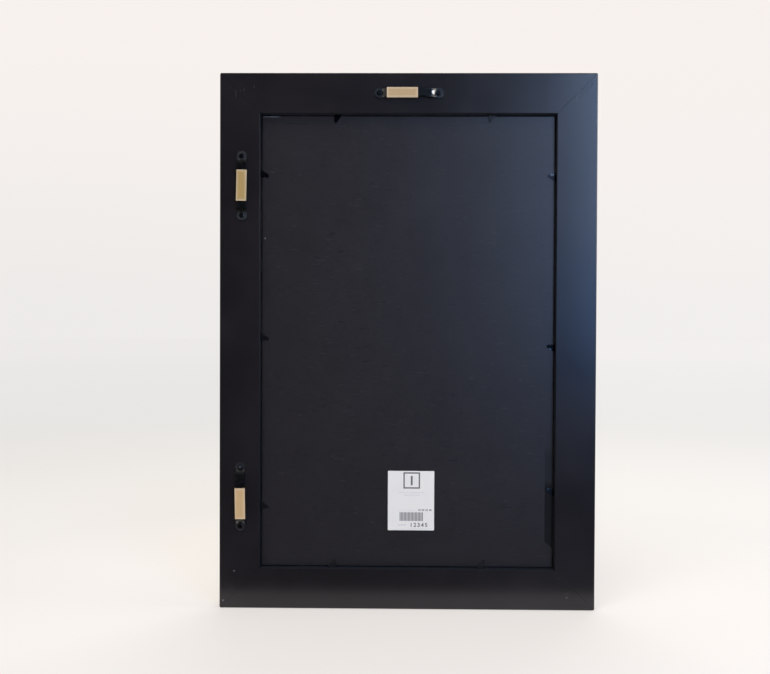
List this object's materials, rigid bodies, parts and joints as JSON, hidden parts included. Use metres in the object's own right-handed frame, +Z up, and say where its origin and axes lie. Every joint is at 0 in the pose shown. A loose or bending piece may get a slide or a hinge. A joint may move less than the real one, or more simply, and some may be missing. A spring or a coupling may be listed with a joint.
{
  "type": "photo frame",
  "caption": "Flat black mitred photo frame for an 11 x 17 in print, with rabbeted sheets, bendable points, sawtooth hangers and sliding card sleeves on the back.",
  "frame": {"origin": "middle of the bottom of the box round the frame at rest, on the surface it stands on", "axes": "+Z up along the long side, back towards -Y, picture side towards +Y, +X to the right when the back is looked at"},
  "size_m": [0.3588, 0.0244, 0.5112],
  "materials": {
    "satin_black_wood": "satin black lacquer on a wood moulding",
    "nail_steel": "bright steel",
    "clear_glazing": "clear polished",
    "plain_paper": "plain matt paper",
    "grey_board": "uncoated grey board",
    "black_paper_board": "black fibrous paper on board",
    "white_label_paper": "white label paper",
    "black_hanger_steel": "black coated steel",
    "black_screw_steel": "black oxide steel",
    "tan_card": "tan kraft card",
    "black_point_steel": "black spring steel"
  },
  "bodies": {
    "frame": {"back_label": "white_label_paper", "backing_board": "black_paper_board", "corner_nail_bottom_left_inner": "nail_steel", "corner_nail_bottom_left_outer": "nail_steel", "corner_nail_bottom_right_inner": "nail_steel", "corner_nail_bottom_right_outer": "nail_steel", "corner_nail_top_left_inner": "nail_steel", "corner_nail_top_left_outer": "nail_steel", "corner_nail_top_right_inner": "nail_steel", "corner_nail_top_right_outer": "nail_steel", "filler_board": "grey_board", "glazing_sheet": "clear_glazing", "hanger_lower": "black_hanger_steel", "hanger_screw_lower_high": "black_screw_steel", "hanger_screw_lower_low": "black_screw_steel", "hanger_screw_top_left": "black_screw_steel", "hanger_screw_top_right": "black_screw_steel", "hanger_screw_upper_high": "black_screw_steel", "hanger_screw_upper_low": "black_screw_steel", "hanger_top": "black_hanger_steel", "hanger_upper": "black_hanger_steel", "insert_sheet": "plain_paper", "point_root_bottom_a": "black_point_steel", "point_root_bottom_b": "black_point_steel", "point_root_left_a": "black_point_steel", "point_root_left_b": "black_point_steel", "point_root_left_c": "black_point_steel", "point_root_right_a": "black_point_steel", "point_root_right_b": "black_point_steel", "point_root_right_c": "black_point_steel", "point_root_top_a": "black_point_steel", "point_root_top_b": "black_point_steel", "rail_bottom": "satin_black_wood", "rail_left": "satin_black_wood", "rail_right": "satin_black_wood", "rail_top": "satin_black_wood"},
    "sleeve_top": {"hanger_sleeve_top": "tan_card"},
    "sleeve_upper": {"hanger_sleeve_upper": "tan_card"},
    "sleeve_lower": {"hanger_sleeve_lower": "tan_card"},
    "tongue_bottom_a": {"point_tongue_bottom_a": "black_point_steel"},
    "tongue_bottom_b": {"point_tongue_bottom_b": "black_point_steel"},
    "tongue_left_a": {"point_tongue_left_a": "black_point_steel"},
    "tongue_left_b": {"point_tongue_left_b": "black_point_steel"},
    "tongue_left_c": {"point_tongue_left_c": "black_point_steel"},
    "tongue_top_a": {"point_tongue_top_a": "black_point_steel"},
    "tongue_top_b": {"point_tongue_top_b": "black_point_steel"},
    "tongue_right_a": {"point_tongue_right_a": "black_point_steel"},
    "tongue_right_b": {"point_tongue_right_b": "black_point_steel"},
    "tongue_right_c": {"point_tongue_right_c": "black_point_steel"}
  },
  "joints": [
    {"name": "slide_sleeve_top", "type": "slide", "parent": "frame", "child": "sleeve_top", "axis": [1, 0, 0], "range_m": [0, 0.0127]},
    {"name": "slide_sleeve_upper", "type": "slide", "parent": "frame", "child": "sleeve_upper", "axis": [0, 0, 1], "range_m": [-0.00635, 0.00635]},
    {"name": "slide_sleeve_lower", "type": "slide", "parent": "frame", "child": "sleeve_lower", "axis": [0, 0, 1], "range_m": [0, 0.0127]},
    {"name": "bend_point_bottom_a", "type": "hinge", "parent": "frame", "child": "tongue_bottom_a", "pos_m": [-0.06924, -0.00125, 0.03845], "axis": [1, 0, 0], "range_deg": [0, 80]},
    {"name": "bend_point_bottom_b", "type": "hinge", "parent": "frame", "child": "tongue_bottom_b", "pos_m": [0.07348, -0.00125, 0.03845], "axis": [1, 0, 0], "range_deg": [0, 80]},
    {"name": "bend_point_left_a", "type": "hinge", "parent": "frame", "child": "tongue_left_a", "pos_m": [-0.14095, -0.00125, 0.41437], "axis": [0, 0, -1], "range_deg": [0, 80]},
    {"name": "bend_point_left_b", "type": "hinge", "parent": "frame", "child": "tongue_left_b", "pos_m": [-0.14095, -0.00125, 0.25821], "axis": [0, 0, -1], "range_deg": [0, 80]},
    {"name": "bend_point_left_c", "type": "hinge", "parent": "frame", "child": "tongue_left_c", "pos_m": [-0.14095, -0.00125, 0.09639], "axis": [0, 0, -1], "range_deg": [0, 80]},
    {"name": "bend_point_top_a", "type": "hinge", "parent": "frame", "child": "tongue_top_a", "pos_m": [0.078, -0.00125, 0.47275], "axis": [-1, 0, 0], "range_deg": [0, 80]},
    {"name": "bend_point_top_b", "type": "hinge", "parent": "frame", "child": "tongue_top_b", "pos_m": [-0.06924, -0.00125, 0.47275], "axis": [-1, 0, 0], "range_deg": [0, 80]},
    {"name": "bend_point_right_a", "type": "hinge", "parent": "frame", "child": "tongue_right_a", "pos_m": [0.14095, -0.00125, 0.11422], "axis": [0, 0, 1], "range_deg": [0, 80]},
    {"name": "bend_point_right_b", "type": "hinge", "parent": "frame", "child": "tongue_right_b", "pos_m": [0.14095, -0.00125, 0.25212], "axis": [0, 0, 1], "range_deg": [0, 80]},
    {"name": "bend_point_right_c", "type": "hinge", "parent": "frame", "child": "tongue_right_c", "pos_m": [0.14095, -0.00125, 0.41481], "axis": [0, 0, 1], "range_deg": [0, 80]}
  ]
}
